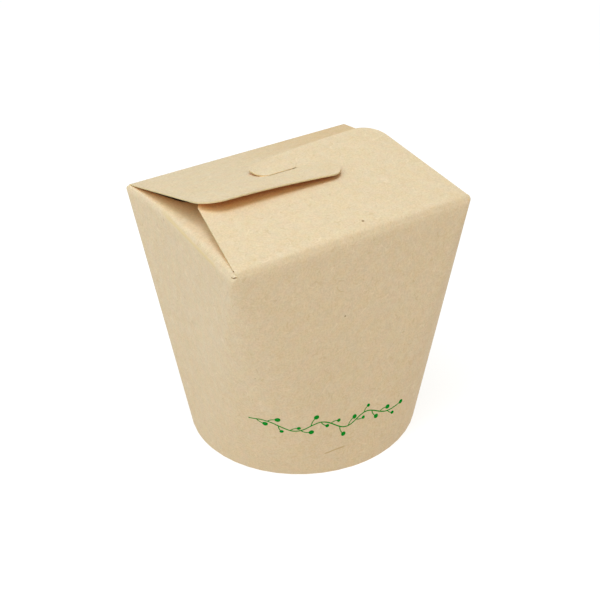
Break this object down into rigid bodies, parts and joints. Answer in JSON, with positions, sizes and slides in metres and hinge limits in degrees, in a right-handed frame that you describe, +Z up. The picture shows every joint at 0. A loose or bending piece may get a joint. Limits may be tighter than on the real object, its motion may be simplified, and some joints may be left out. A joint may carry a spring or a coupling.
{
  "type": "noodle takeaway box",
  "caption": "Shut takeaway box of plain kraft board: rectangular rim, walls running down to a round base, slotted top flaps that hook through each other.",
  "frame": {"origin": "middle of the base, on the surface that the box stands on", "axes": "+Z up, X along the long folds of the rim, -Y out of the front wall"},
  "size_m": [0.1006, 0.0928, 0.1096],
  "materials": {
    "kraft_board": "uncoated brown kraft board, matt, with fine fibres"
  },
  "bodies": {
    "root": {"carton": "kraft_board"}
  },
  "joints": []
}
